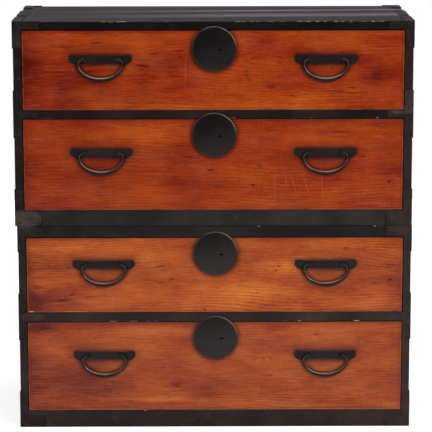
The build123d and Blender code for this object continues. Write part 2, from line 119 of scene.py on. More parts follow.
def add_tube(bm, rings, closed=False):
    """Skin over rings of points, capped at both ends unless the tube closes on itself."""
    loops = [[bm.verts.new(point) for point in ring] for ring in rings]
    pairs = list(zip(loops, loops[1:]))
    if closed:
        pairs.append((loops[-1], loops[0]))
    for a, b in pairs:
        count = len(a)
        for i in range(count):
            bm.faces.new((a[i], a[(i + 1) % count], b[(i + 1) % count], b[i]))
    if not closed:
        bm.faces.new(list(reversed(loops[0])))
        bm.faces.new(loops[-1])


def wobble(point, size, amount, seed):
    """Small smooth offset along all axes, the same for the same point and seed."""
    where = Vector(point) / size + Vector((seed * 7.3, seed * 3.1, seed * 1.7))
    return noise.noise_vector(where) * amount


# ================================================================ node helpers
class Shader:
    """A material's node tree with short calls for the nodes that are used here."""

    def __init__(self, name):
        self.material = bpy.data.materials.new(name)
        self.material.use_nodes = True
        self.tree = self.material.node_tree
        self.tree.nodes.clear()
        self.output = self.node("ShaderNodeOutputMaterial")
        self.bsdf = self.node("ShaderNodeBsdfPrincipled")
        self.tree.links.new(self.bsdf.outputs[0], self.output.inputs[0])
        self.object_coords = self.node("ShaderNodeTexCoord").outputs["Object"]

    def node(self, kind):
        return self.tree.nodes.new(kind)

    def put(self, socket, value):
        """Links an output, or sets a plain value."""
        if isinstance(value, bpy.types.NodeSocket):
            self.tree.links.new(value, socket)
        else:
            socket.default_value = value

    def math(self, operation, a, b=0.0, c=0.0, clamp=False):
        made = self.node("ShaderNodeMath")
        made.operation = operation
        made.use_clamp = clamp
        for socket, value in zip(made.inputs, (a, b, c)):
            self.put(socket, value)
        return made.outputs[0]

    def add(self, *values):
        total = values[0]
        for value in values[1:]:
            total = self.math("ADD", total, value)
        return total

    def times(self, *values):
        total = values[0]
        for value in values[1:]:
            total = self.math("MULTIPLY", total, value)
        return total

    def split(self, vector):
        made = self.node("ShaderNodeSeparateXYZ")
        self.put(made.inputs[0], vector)
        return made.outputs

    def join(self, x, y, z):
        made = self.node("ShaderNodeCombineXYZ")
        for socket, value in zip(made.inputs, (x, y, z)):
            self.put(socket, value)
        return made.outputs[0]

    def placed(self, vector, scale=(1, 1, 1), shift=(0, 0, 0)):
        """Coordinates scaled by axis and then moved."""
        made = self.node("ShaderNodeMapping")
        self.put(made.inputs["Vector"], vector)
        made.inputs["Scale"].default_value = scale
        made.inputs["Location"].default_value = shift
        return made.outputs[0]

    def noise(self, vector, scale=1.0, detail=2.0, rough=0.5, distortion=0.0):
        made = self.node("ShaderNodeTexNoise")
        self.put(made.inputs["Vector"], vector)
        made.inputs["Scale"].default_value = scale
        made.inputs["Detail"].default_value = detail
        made.inputs["Roughness"].default_value = rough
        made.inputs["Distortion"].default_value = distortion
        return made.outputs["Fac"]

    def ease(self, value, low, high, to_low=0.0, to_high=1.0):
        """Smooth step from low to high, written to another range."""
        made = self.node("ShaderNodeMapRange")
        made.interpolation_type = "SMOOTHSTEP"
        for socket, given in zip(made.inputs, (value, low, high, to_low, to_high)):
            self.put(socket, given)
        return made.outputs[0]

    def mix(self, share, a, b, blend="MIX"):
        made = self.node("ShaderNodeMix")
        made.data_type = "RGBA"
        made.blend_type = blend
        made.clamp_factor = True
        self.put(made.inputs["Factor"], share)
        for socket, value in ((made.inputs[6], a), (made.inputs[7], b)):
            self.put(socket, (*value, 1) if isinstance(value, tuple) and len(value) == 3 else value)
        return made.outputs[2]

    def ramp(self, value, stops):
        made = self.node("ShaderNodeValToRGB")
        self.put(made.inputs[0], value)
        elements = made.color_ramp.elements
        while len(elements) < len(stops):
            elements.new(0.5)
        for element, (position, colour) in zip(elements, stops):
            element.position = position
            element.color = (*colour, 1)
        return made.outputs[0]

    def bump(self, height, distance, strength=1.0, under=None):
        made = self.node("ShaderNodeBump")
        made.inputs["Distance"].default_value = distance
        made.inputs["Strength"].default_value = strength
        self.put(made.inputs["Height"], height)
        if under is not None:
            self.put(made.inputs["Normal"], under)
        return made.outputs[0]

    def patch(self, place, x, z, half_l, half_h, ragged=None, inner=0.0, tilt=0.0):
        """1 inside an ellipse in the XZ plane, falling to 0 at its edge; sizes in millimetres."""
        made = self.node("ShaderNodeMapping")
        made.vector_type = "TEXTURE"
        self.put(made.inputs["Vector"], place)
        made.inputs["Location"].default_value = (x * MM, 0, z * MM)
        made.inputs["Rotation"].default_value = (0, -math.radians(tilt), 0)
        made.inputs["Scale"].default_value = (half_l * MM, 1e6, half_h * MM)
        length = self.node("ShaderNodeVectorMath")
        length.operation = "LENGTH"
        self.put(length.inputs[0], made.outputs[0])
        away = length.outputs["Value"]
        if ragged is not None:
            away = self.add(away, ragged)
        return self.ease(away, inner, 1.0, 1.0, 0.0)

    def set(self, **values):
        """Sets the shader's own sockets by short names."""
        names = {"base_color": "Base Color", "roughness": "Roughness", "normal": "Normal",
                 "metallic": "Metallic", "specular": "Specular IOR Level"}
        for key, value in values.items():
            if isinstance(value, tuple) and len(value) == 3:
                value = (*value, 1)
            self.put(self.bsdf.inputs[names[key]], value)
        return self.material


def srgb(red, green, blue):
    """A colour as it looks, 0 to 255 a channel, as the linear values that a shader takes."""
    def one(value):
        value /= 255
        return value / 12.92 if value <= 0.04045 else ((value + 0.055) / 1.055) ** 2.4
    return (one(red), one(green), one(blue))


# ================================================================ lacquered drawer fronts
# Lists in millimetres from the middle of a front. Zones: (x, z, half length, half height, change of tone).
# Marks, dark streaks and knots: (x, z, half length, half height, strength, tilt in degrees).
# Glints, light scratches and nicks: (x, z, half length, half height, strength, tilt in degrees).
FRONT_LOOKS = {
    "drawer_1": {
        "red": (srgb(86, 11, 4), srgb(136, 35, 8), srgb(160, 54, 11)),
        "orange": (srgb(112, 31, 6), srgb(154, 58, 11), srgb(186, 91, 18)),
        "shift": (0.3, 0.0, 1.2), "ring": 0.16, "ring_step": 8.0,
        "zones": [(-500, -3.5, 90, 160, -0.30), (-420, -10, 330, 130, -0.16), (-130, 0, 130, 110, -0.12),
                  (0, -115.5, 620, 42, 0.36), (-330, 82.5, 120, 30, 0.10), (60, -73.5, 260, 40, 0.14),
                  (420, -13.5, 60, 60, -0.22), (330, 66.5, 160, 30, 0.10),
                  (-390, -23.5, 80, 70, -0.12), (140, 80.5, 45, 24, -0.20), (-270, 62.5, 90, 16, -0.12)],
        "marks": [(-306, 72.5, 24, 3.0, 0.8, 4), (-387, 61.5, 34, 5.0, 0.55, 0), (-86, 51.5, 24, 2.6, 1.0, 6),
                  (-156, 43.5, 20, 4.5, 0.75, 4), (-88, 34.5, 12, 5.0, 0.8, 20),
                  (-186, 11.5, 34, 3.4, 0.9, -4),
                  (-176, 8.5, 16, 3.0, 0.8, -12), (-402, -33.5, 9, 6.0, 0.6, 0),
                  (-396, -49.5, 16, 3.0, 0.7, 0),
                  (101, 31.5, 5, 3.6, 1.0, 0), (172, 34.5, 20, 3.0, 0.75, -10), (174, 20.5, 12, 2.8, 0.8, -8),
                  (150, -44.5, 22, 9.0, 0.65, 0), (208, -66.5, 5, 3.6, 1.0, 0),
                  (364, -46.5, 14, 3.4, 0.7, -6),
                  (345, -58.5, 96, 5.5, 0.50, -4), (430, -13.5, 26, 16, 0.4, 0), (90, -17.5, 30, 8, 0.3, -70),
                  (-488, -3.5, 9, 100, 0.45, 0), (310, 4.5, 5, 4.5, 0.85, 0)],
        "glints": [(-73, -3.5, 1.2, 60, 0.5, 0), (-488, -23.5, 2.0, 2.0, 0.8, 0),
                   (-140, -78.5, 40, 1.6, 0.55, 0),
                   (40, -81.5, 60, 1.4, 0.35, -2), (95, 34.5, 14, 1.2, 0.3, 6)],
    },
    "drawer_2": {
        "red": (srgb(92, 16, 6), srgb(136, 38, 8), srgb(162, 56, 12)),
        "orange": (srgb(114, 34, 8), srgb(152, 57, 10), srgb(184, 87, 18)),
        "shift": (2.1, 0.0, 4.4), "ring": 0.18, "ring_step": 8.5,
        "zones": [(-500, 0, 50, 160, -0.20), (-400, -10, 340, 150, -0.13), (-110, 0, 120, 130, -0.10),
                  (-200, 78, 260, 30, 0.20), (0, -90, 560, 24, 0.10),
                  (300, 60, 220, 30, 0.14), (460, -10, 60, 120, -0.18), (-60, -52, 200, 26, -0.12),
                  (180, 20, 160, 30, -0.10), (440, 108, 80, 18, -0.40)],
        "marks": [(-425, 113, 5, 6.0, 0.7, 0), (-88, 102, 20, 2.4, 0.6, 0), (-246, 69, 80, 1.4, 0.6, 0),
                  (-460, 43, 28, 3.4, 0.45, 8), (-66, 20, 24, 2.6, 1.0, -6), (-98, 32, 14, 2.2, 0.6, -6),
                  (-72, 8, 8, 2.2, 0.9, 0), (-76, -3, 7, 3.0, 1.0, 12), (-8, -15, 20, 4.0, 0.9, -4),
                  (-452, -26, 16, 3.0, 0.5, 0), (-136, -103, 2.0, 8.0, 0.7, 10), (338, 85, 56, 2.4, 0.75, -2),
                  (330, 73, 22, 2.0, 0.5, 0), (105, -56, 9, 6.0, 1.0, -10), (68, -44, 7, 3.6, 0.8, 0),
                  (12, -62, 10, 5.0, 0.6, 0), (463, -46, 9, 7.0, 0.85, 30), (395, 20, 14, 2.8, 0.95, 8),
                  (123, -4, 13, 5.0, 0.6, 0), (-300, -10, 10, 4.0, 0.5, 0), (-4, 42, 5, 3.0, 0.5, 0)],
        "glints": [(-141, 72, 1.4, 6.0, 1.0, 20), (-142, 78, 1.0, 34, 0.35, 6), (162, -62, 1.3, 50, 0.55, 0),
                   (190, -40, 1.2, 44, 0.45, 10), (213, -58, 1.3, 56, 0.50, 14),
                   (246, -60, 1.3, 52, 0.45, 18),
                   (286, -40, 1.4, 74, 0.50, 3), (190, -55, 46, 1.4, 0.45, 0), (420, -104, 60, 1.4, 0.6, 0),
                   (452, -112, 18, 1.6, 0.8, 0), (-470, -72, 1.6, 2.0, 0.8, 0),
                   (150, -108, 26, 1.6, 0.55, 0)],
    },
    "drawer_3": {
        "red": (srgb(96, 28, 15), srgb(149, 56, 19), srgb(180, 86, 32)),
        "orange": (srgb(128, 52, 20), srgb(174, 82, 27), srgb(207, 117, 45)),
        "shift": (5.3, 0.0, 0.8), "ring": 0.20, "ring_step": 7.0,
        "zones": [(-508, -80, 96, 50, -0.62), (-430, -60, 200, 50, -0.22), (-500, 0, 40, 120, -0.24),
                  (-420, 20, 150, 110, -0.14),
                  (60, -48, 330, 46, 0.32), (-350, 74, 160, 26, 0.12), (200, 20, 120, 30, 0.12),
                  (330, 30, 130, 44, -0.10), (480, -10, 50, 90, -0.10), (-230, 6, 120, 40, -0.12)],
        "marks": [(-474, -90, 24, 9, 0.55, 0), (-482, -60, 20, 26, 0.28, 0), (-380, -54, 20, 3.2, 0.7, 8),
                  (-404, -68, 42, 5.0, 0.85, 6), (-470, -34, 26, 3.6, 0.55, 0), (-335, -60, 30, 3.0, 0.45, 6),
                  (-142, 25, 28, 2.6, 0.8, 13), (-144, -21, 11, 3.2, 0.8, 6), (-116, -12, 10, 3.2, 0.8, 8),
                  (-389, 20, 16, 9.0, 0.45, 0), (-60, 8, 18, 2.4, 0.55, 0), (-26, -94, 5, 8.0, 0.8, 0),
                  (133, 88, 10, 2.6, 0.5, 0), (236, 78, 40, 2.6, 0.45, -10), (350, 72, 13, 3.0, 0.95, 6),
                  (171, 24, 7, 2.6, 1.0, -6), (134, 12, 3.4, 3.4, 1.0, 0), (163, 12, 4.4, 3.6, 0.9, 0),
                  (115, 12, 3, 2.6, 0.6, 0), (466, -14, 9, 6.0, 0.85, 14), (425, -24, 10, 2.6, 0.6, 12),
                  (114, -49, 3.6, 3.4, 0.8, 0), (19, -90, 5, 3.6, 0.8, 0), (484, 73, 9, 2.4, 0.8, 4),
                  (90, -97, 26, 3.0, 0.5, 0), (-170, 34, 26, 3.0, 0.35, 12)],
        "glints": [(-489, -99.2, 9, 3.0, 1.7, 0), (-370, -99, 56, 1.4, 0.9, 0), (-240, -99, 60, 1.0, 0.6, 0),
                   (-476, -48, 1.6, 1.6, 0.6, 0)],
        "knots": [(-100, 40, 26, 17)],
    },
    "drawer_4": {
        "red": (srgb(92, 28, 17), srgb(140, 52, 24), srgb(167, 77, 35)),
        "orange": (srgb(120, 46, 20), srgb(163, 74, 29), srgb(192, 105, 46)),
        "shift": (7.9, 0.0, 3.0), "ring": 0.22, "ring_step": 6.5,
        "zones": [(-470, 108, 70, 26, -0.50), (-330, -56, 190, 56, -0.26), (-500, 0, 60, 160, -0.18),
                  (-440, 0, 220, 150, -0.16), (330, 0, 270, 150, 0.16),
                  (-150, 96, 330, 26, 0.24), (60, 40, 240, 50, 0.10), (-130, -92, 150, 14, 0.34),
                  (430, -50, 90, 70, -0.06), (-420, 30, 80, 30, 0.06), (300, 84, 200, 24, 0.10),
                  (330, -100, 200, 20, -0.10)],
        "marks": [(-441, -9, 16, 4.0, 0.55, 0), (-477, -58, 16, 4.0, 0.6, 0), (-285, -71, 9, 4.0, 0.65, 0),
                  (-105, -53, 26, 9.0, 0.6, 0), (-139, -4, 10, 5.0, 0.6, 0), (-121, -85, 13, 3.2, 0.55, 6),
                  (-56, -41, 9, 4.0, 0.55, 0), (-460, 106, 34, 8.0, 0.55, -4), (147, 22, 11, 2.6, 0.9, -10),
                  (146, -27, 13, 3.2, 0.7, 8), (272, 86, 9, 3.6, 0.7, 12), (385, 64, 2.6, 14, 0.6, 14),
                  (358, 3, 5, 4.0, 0.75, 0), (-300, 60, 60, 3.0, 0.35, 0), (430, -56, 40, 6.0, 0.35, 4),
                  (210, -8, 40, 2.0, 0.4, -4), (-230, -96, 14, 3.0, 0.6, 0), (300, -60, 46, 2.6, 0.35, 3),
                  (82, -118, 5, 3.0, 0.9, 0), (142, -118, 5, 3.0, 0.8, 0), (186, -118, 4, 3.0, 0.8, 0)],
        "glints": [(-462, 95, 7, 2.4, 0.6, 40), (330, 96, 40, 1.2, 0.5, 0), (-300, -119, 160, 1.2, 0.55, 0),
                   (300, -119.4, 160, 1.0, 0.5, 0)],
        "knots": [(120, 6, 60, 24)],
    },
}
PLATE_HALF_L = 72 * MM
PLATE_HALF_H = 6 * MM
LOCK_R = 59 * MM
GRIME = srgb(26, 16, 20)


def all_patches(shader, place, ragged, patches):
    """Largest share of a list of marks at each place."""
    total = 0.0
    for x, z, half_l, half_h, strength, tilt in patches:
        share = shader.times(shader.patch(place, x, z, half_l, half_h, ragged, 0.15, tilt), strength)
        total = shader.math("MAXIMUM", total, share)
    return total


def front_lacquer(drawer):
    """Clear red-brown lacquer over flat-sawn softwood, darkened by hands round the handles."""
    looks = FRONT_LOOKS[drawer]
    low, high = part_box(f"{drawer}_front")
    middle = (low + high) / 2
    half_h = (high.z - low.z) / 2
    half_w = (high.x - low.x) / 2
    shader = Shader(f"{drawer}_lacquer")
    here = shader.placed(shader.object_coords, shift=tuple(-middle))
    x, y, z = shader.split(here)

    # the fibres sway a little, and the rings run with them
    sway = shader.noise(shader.placed(here, (2.2, 2.2, 9), looks["shift"]), 1.0, 2, 0.45)
    sway = shader.times(shader.math("SUBTRACT", sway, 0.5), 34 * MM)
    knotted = 0.0
    for knot_x, knot_z, half_l, knot_h in looks.get("knots", ()):
        knotted = shader.add(knotted, shader.patch(here, knot_x, knot_z, half_l, knot_h))
    sway = shader.add(sway, shader.times(knotted, 22 * MM))
    flow_z = shader.add(z, sway)
    flow = shader.join(x, y, flow_z)
    bend = shader.noise(shader.placed(flow, (1.6, 1.6, 6), looks["shift"]), 1.0, 1, 0.4)
    level = shader.add(shader.times(flow_z, 1 / (looks["ring_step"] * MM)), shader.times(bend, 11.0))
    ring = shader.ease(shader.math("PINGPONG", level, 0.5), 0.10, 0.50)
    clear = shader.noise(shader.placed(here, (4, 4, 16), looks["shift"]), 1.0, 3, 0.6)
    ring = shader.times(ring, shader.ease(clear, 0.36, 0.66, 0.15, 1.0))

    fibre = shader.noise(shader.placed(flow, (26, 26, 620), looks["shift"]), 1.0, 3, 0.6)
    streak = shader.noise(shader.placed(flow, (15, 15, 190), looks["shift"]), 1.0, 3, 0.6)
    cloud = shader.noise(shader.placed(flow, (5, 5, 13), looks["shift"]), 1.0, 4, 0.55)
    warm = shader.noise(shader.placed(flow, (3.0, 3.0, 11), (4, 1, 6)), 1.0, 4, 0.6)
    depth = shader.noise(shader.placed(here, (2.6, 2.6, 5), (1, 5, 2)), 1.0, 2, 0.5)
    fleck = shader.noise(shader.placed(flow, (70, 70, 330), (3, 3, 3)), 1.0, 3, 0.6)
    pores = shader.noise(shader.placed(flow, (34, 34, 430), (6, 2, 1)), 1.0, 2, 0.5)
    pores = shader.ease(pores, 0.60, 0.76)
    tone = shader.add(
        0.50,
        shader.times(shader.math("SUBTRACT", cloud, 0.5), 1.00),
        shader.times(shader.math("SUBTRACT", streak, 0.5), 0.40),
        shader.times(shader.math("SUBTRACT", fibre, 0.5), 0.44),
        shader.times(shader.math("SUBTRACT", fleck, 0.5), 0.42),
        shader.times(shader.math("SUBTRACT", depth, 0.5), 0.30),
        shader.times(ring, -looks["ring"]),
        shader.times(pores, -0.24),
    )
    for zone_x, zone_z, half_l, zone_h, change in looks["zones"]:
        tone = shader.add(tone, shader.times(shader.patch(here, zone_x, zone_z, half_l, zone_h), change))
    tones = [shader.ramp(tone, list(zip((0.0, 0.5, 1.0), looks[name]))) for name in ("red", "orange")]
    colour = shader.mix(shader.ease(shader.add(warm, shader.times(tone, 0.3)), 0.42, 0.80), *tones)
    # faint pale patches painted into the colour: a painted reflection haze on the lacquer
    reflection_haze = shader.noise(shader.placed(here, (9, 9, 22), (7, 7, 7)), 1.0, 4, 0.6)
    colour = shader.mix(shader.ease(reflection_haze, 0.46, 0.72, 0.0, 0.030), colour, srgb(186, 150, 140))
    dark = looks["red"][0]

    # knots, resin streaks and stains
    ragged = shader.noise(shader.placed(flow, (70, 70, 260)), 1.0, 3, 0.6)
    ragged = shader.times(shader.math("SUBTRACT", ragged, 0.5), 1.3)
    marks = all_patches(shader, here, ragged, looks["marks"])
    colour = shader.mix(shader.times(marks, 0.92), colour, tuple(c * 0.38 for c in dark))

    # grime round the two handle plates and the lock plate; darker along the outline of the bails below their
    # pivots, and towards the edges
    handle = joint_at[f"{drawer}_right_bail_swing"]["pos_m"]
    from_x = shader.math("SUBTRACT", shader.math("ABSOLUTE", x), handle[0] - middle.x)
    from_z = shader.math("SUBTRACT", z, handle[2] - middle.z)
    slope = shader.times(shader.math("MINIMUM", from_z, 0.0), 0.9)
    out_x = shader.math("MAXIMUM", shader.math("SUBTRACT", shader.math("ABSOLUTE", from_x),
                                               shader.add(slope, PLATE_HALF_L)), 0.0)
    out_z = shader.math("MAXIMUM", shader.math("SUBTRACT", shader.math("ABSOLUTE", from_z), PLATE_HALF_H),
                        0.0)
    out = shader.math("SQRT", shader.add(shader.times(out_x, out_x), shader.times(out_z, out_z)))
    uneven = shader.add(out, shader.times(shader.math("SUBTRACT", cloud, 0.5), 9 * MM))
    colour = shader.mix(shader.ease(uneven, 0.0, 42 * MM, 0.46, 0.0), colour, tuple(c * 0.80 for c in dark))
    colour = shader.mix(shader.ease(uneven, 3 * MM, 17 * MM, 0.80, 0.0), colour, GRIME)
    round_bail = shader.math("SQRT", shader.add(
        shader.math("POWER", shader.math("DIVIDE", from_x, DRAWER_BAIL_HALF_W), 2.0),
        shader.math("POWER", shader.math("DIVIDE", from_z, DRAWER_BAIL_DROP), 2.0)))
    round_bail = shader.math("ABSOLUTE", shader.math("SUBTRACT", round_bail, 1.02))
    below = shader.ease(from_z, -12 * MM, 0.0, 1.0, 0.0)
    colour = shader.mix(shader.times(shader.ease(round_bail, 0.08, 0.26, 0.50, 0.0), below), colour,
                        tuple(c * 0.5 for c in dark))
    plate_low, plate_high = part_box(f"{drawer}_lock_plate")
    plate = (plate_low + plate_high) / 2 - middle
    away = shader.math("SQRT", shader.add(
        shader.math("POWER", shader.math("SUBTRACT", x, plate.x), 2.0),
        shader.math("POWER", shader.math("SUBTRACT", z, plate.z), 2.0)))
    colour = shader.mix(shader.ease(away, LOCK_R, LOCK_R + 15 * MM, 0.60, 0.0), colour,
                        tuple(c * 0.5 for c in dark))
    # near black under the middle of the lock plate, seen through its keyhole: painted shade in the keyhole
    colour = shader.mix(shader.ease(away, 15 * MM, 25 * MM, 1.0, 0.0), colour, srgb(4, 2, 2))
    edge = shader.math("MINIMUM", shader.math("SUBTRACT", half_w, shader.math("ABSOLUTE", x)),
                       shader.math("SUBTRACT", half_h, shader.math("ABSOLUTE", z)))
    soft_edge = shader.add(edge, shader.times(shader.math("SUBTRACT", cloud, 0.5), 14 * MM))
    colour = shader.mix(shader.ease(soft_edge, 0.0, 13 * MM, 0.38, 0.0), colour, dark)

    # the top millimetre of the front, in the gap under the rail above, painted near black: painted shade
    from_top = shader.math("SUBTRACT", half_h, z)
    colour = shader.mix(shader.ease(from_top, 0.2 * MM, 1.1 * MM, 0.95, 0.0), colour,
                        tuple(c * 0.08 for c in dark))

    # edges painted pale, partly rubbed wear and partly a painted highlight on the rounded edges, and light
    # scratches
    rub_and_highlight_noise = shader.noise(shader.placed(here, (16, 16, 60)), 1.0, 3, 0.6)
    rim = shader.times(shader.ease(edge, 1.2 * MM, 2.6 * MM, 1.0, 0.0), shader.ease(rub_and_highlight_noise, 0.30, 0.62),
                       shader.ease(from_top, 3 * MM, 5 * MM))
    pale = tuple(min(1.0, c * 1.3 + 0.05) for c in looks["orange"][2])
    colour = shader.mix(shader.times(rim, 0.38), colour, tuple(c * 0.8 for c in pale))
    hair = shader.noise(shader.placed(here, (760, 760, 3.0)), 1.0, 2, 0.5)
    hair_where = shader.noise(shader.placed(here, (9, 9, 12), (2, 2, 2)), 1.0, 2, 0.5)
    hair = shader.times(shader.ease(hair, 0.62, 0.78), shader.ease(hair_where, 0.52, 0.72))
    glints = all_patches(shader, here, shader.times(ragged, 0.4), looks["glints"])
    colour = shader.mix(shader.times(glints, 0.55), colour, pale)
    colour = shader.mix(shader.times(hair, 0.10), colour, pale)

    rough = shader.add(0.20, shader.times(cloud, 0.12), shader.times(hair, 0.2), shader.times(rim, 0.25),
                       shader.times(marks, 0.10))
    height = shader.add(shader.times(fibre, 0.5), shader.times(ring, 0.5), shader.times(streak, 0.8),
                        shader.times(marks, -0.8))
    return shader.set(base_color=colour, roughness=rough, normal=shader.bump(height, 0.18 * MM, 0.4),
                      specular=0.24)


# ================================================================ black lacquer on the cases
CASE_LOOKS = {
    # right: share of a lighter colour painted on the right side board, painted light from the key lamp on
    # that side
    "upper": {"black": srgb(14, 6, 6), "brown": srgb(38, 21, 18), "shift": (0, 0, 0), "right": 0.18},
    "lower": {"black": srgb(22, 13, 13), "brown": srgb(48, 33, 29), "shift": (3, 1, 2), "right": 0.35},
    "upper_top": {"black": srgb(7, 3, 3), "brown": srgb(20, 11, 10), "shift": (0, 0, 0), "specular": 0.19},
    "upper_base": {"black": srgb(23, 16, 16), "brown": srgb(44, 35, 34), "shift": (5, 0, 1)},
    "lower_top": {"black": srgb(12, 7, 7), "brown": srgb(34, 24, 23), "shift": (2, 4, 0)},
    "lower_shelf": {"black": srgb(28, 15, 14), "brown": srgb(56, 38, 33), "shift": (1, 1, 5)},
}
BARE_WOOD = srgb(192, 164, 134)
# dark and light ends of each lock plate's painted reflection gradient
PLATE_LOOKS = {
    "drawer_1": (srgb(6, 3, 3), srgb(28, 22, 22)),
    "drawer_2": (srgb(6, 3, 3), srgb(30, 24, 22)),
    "drawer_3": (srgb(14, 8, 7), srgb(42, 34, 32)),
    "drawer_4": (srgb(15, 9, 9), srgb(42, 35, 34)),
}
# On the top, millimetres from the middle: bands of painted sheen (y, half width, strength), and the seams
# between planks.
TOP_BANDS = [(76, 32, 1.0), (-62, 66, 0.74), (205, 24, 0.30)]
TOP_SEAMS = (-98, 62)


def case_lacquer(case, part, grain, edge=None, chips=(), sheen_and_seams=None, seam_z=None):
    """Black lacquer over softwood, with chips along one front edge: (from x, to x, strength), in mm."""
    looks = CASE_LOOKS.get(f"{case}_{part}", CASE_LOOKS[case])
    shader = Shader(f"{case}_{part}_lacquer")
    there = shader.object_coords
    here = shader.placed(there, shift=looks["shift"])
    fibre = shader.noise(shader.placed(here, grain), 1.0, 4, 0.6)
    blotch = shader.noise(here, 7.0, 3, 0.55)
    board = shader.noise(shader.placed(here, tuple(g * 0.2 for g in grain)), 1.0, 2, 0.5)
    colour = shader.mix(shader.ease(blotch, 0.35, 0.75), looks["black"], looks["brown"])
    colour = shader.mix(shader.times(shader.ease(fibre, 0.55, 0.8), 0.35), colour, looks["brown"])
    x, y, z = shader.split(there)
    fleck = shader.noise(shader.placed(there, (85, 90, 90)), 1.0, 3, 0.65)
    rub = shader.noise(shader.placed(there, (5, 30, 30)), 1.0, 3, 0.6)
    if seam_z is not None:
        near_seam = shader.math("ABSOLUTE", shader.math("SUBTRACT", z, seam_z))
        colour = shader.mix(shader.ease(near_seam, 1.2 * MM, 3.2 * MM, 0.9, 0.0), colour, srgb(5, 4, 4))
    # where given, a painted sheen is laid over the colour
    if sheen_and_seams is not None:
        colour = sheen_and_seams(shader, here, colour)
    wear = 0.0
    if edge is not None:
        edge_y, edge_z = edge
        near = shader.math("MAXIMUM", shader.math("ABSOLUTE", shader.math("SUBTRACT", y, edge_y)),
                           shader.math("ABSOLUTE", shader.math("SUBTRACT", z, edge_z)))
        along = shader.times(shader.ease(rub, 0.50, 0.75), 0.30)
        for x_from, x_to, strength in chips:
            inside = shader.times(shader.ease(x, x_from * MM, (x_from + 8) * MM),
                                  shader.ease(x, (x_to - 8) * MM, x_to * MM, 1.0, 0.0))
            along = shader.math("MAXIMUM", along, shader.times(inside, strength))
        wear = shader.times(shader.ease(near, 0.8 * MM, 2.6 * MM, 1.0, 0.0), along,
                            shader.ease(fleck, 0.49, 0.58))
        colour = shader.mix(shader.times(wear, 0.9), colour, BARE_WOOD)
    # the side boards painted lighter towards the right: painted light, as the key lamp is on that side
    if part == "side":
        colour = shader.mix(shader.ease(x, 0.0, 0.5, 0.0, looks["right"]), colour, srgb(58, 48, 46))
    scuff = shader.noise(shader.placed(there, (26, 26, 26), (5, 5, 5)), 1.0, 4, 0.65)
    scuff = shader.ease(scuff, 0.60, 0.72)
    colour = shader.mix(shader.times(scuff, 0.30), colour, tuple(c * 2.4 for c in looks["brown"]))
    rough = shader.add(0.28, shader.times(blotch, 0.14), shader.times(board, 0.08), shader.times(scuff, 0.15))
    height = shader.add(shader.times(fibre, 0.8), shader.times(board, 1.5), shader.times(wear, -2.0))
    return shader.set(base_color=colour, roughness=rough, normal=shader.bump(height, 0.22 * MM, 0.4),
                      specular=looks.get("specular", 0.26))


def top_sheen_and_seams(shader, here, colour):
    """Painted purple-grey sheen over the top and lighter reflection bands along its cupped planks, more of
    them to the right; darker near the front on the right, and dark seams between the planks.
    """
    x, y, z = shader.split(here)
    sway = shader.noise(shader.placed(here, (1.4, 6, 1)), 1.0, 2, 0.5)
    band_y = shader.add(y, shader.times(shader.math("SUBTRACT", sway, 0.5), 30 * MM), shader.times(x, -0.07))
    patchy = shader.noise(shader.placed(here, (4, 14, 1)), 1.0, 4, 0.6)
    right = shader.ease(x, -0.45, 0.12, 0.10, 1.0)
    share = 0.0
    for middle_y, half, strength in TOP_BANDS:
        away = shader.math("ABSOLUTE", shader.math("SUBTRACT", band_y, middle_y * MM))
        share = shader.math("MAXIMUM", share, shader.ease(away, half * MM * 0.2, half * MM, strength, 0.0))
    share = shader.times(share, right, shader.ease(patchy, 0.25, 0.6, 0.55, 1.0))
    up = shader.ease(z, upper_top[1].z - 3 * MM, upper_top[1].z - 1 * MM)
    front = shader.times(shader.ease(y, -0.21, -0.105, 0.86, 0.0), right)
    # painted sheen: a purple-grey reflection over the whole top, a darker strip near the front on the right,
    # and lighter reflection bands
    colour = shader.mix(shader.times(up, 0.60), colour, srgb(45, 29, 40))
    colour = shader.mix(shader.times(up, front), colour, srgb(22, 10, 8))
    colour = shader.mix(shader.times(share, up), colour, srgb(116, 102, 112))
    seam = 1.0
    for seam_y in TOP_SEAMS:
        seam = shader.math("MINIMUM", seam, shader.math("ABSOLUTE", shader.math("SUBTRACT", y, seam_y * MM)))
    groove = shader.times(shader.ease(seam, 0.4 * MM, 3.0 * MM, 0.8, 0.0), up)
    return shader.mix(groove, colour, srgb(14, 11, 12))


# ================================================================ iron, nails and bare wood
def black_iron(name, colour, wear_and_light_tone, rough, hammer, metal=0.3, gloss=0.4, spread=1.0, greyer=(),
               top=None):
    """Lacquered iron, worn in patches; greyer round the given places, and painted with the top's purple-grey
    sheen above a height.
    """
    shader = Shader(name)
    here = shader.object_coords
    broad = shader.noise(here, 5.0, 2, 0.5)
    cloud = shader.noise(here, 38.0, 3, 0.6)
    speck = shader.noise(here, 420.0, 2, 0.6)
    dents = shader.noise(here, 150.0, 2, 0.5)
    share = shader.add(shader.times(shader.ease(cloud, 0.40, 0.75), 0.6 * spread),
                       shader.times(shader.ease(broad, 0.5, 0.7), 0.5 * spread))
    for x, z, half_l, half_h, strength in greyer:
        near = shader.patch(here, x, z, half_l, half_h, inner=0.7)
        share = shader.add(share, shader.times(near, shader.ease(cloud, 0.2, 0.6, 0.5, 1.0), strength))
    shade = shader.mix(share, colour, wear_and_light_tone)
    shade = shader.mix(shader.times(shader.ease(speck, 0.62, 0.75), 0.35), shade,
                       tuple(c * 2.2 for c in wear_and_light_tone))
    if top is not None:
        # above the given height, on the top, the iron takes the top's painted sheen colour
        x, y, z = shader.split(here)
        shade = shader.mix(shader.ease(z, top, top + 0.5 * MM, 0.0, 0.85), shade, srgb(66, 54, 62))
    height = shader.add(shader.times(dents, hammer), shader.times(speck, 0.12))
    return shader.set(base_color=shade, roughness=shader.add(rough, shader.times(cloud, 0.14)),
                      metallic=metal, normal=shader.bump(height, 0.35 * MM, 0.6), specular=gloss)


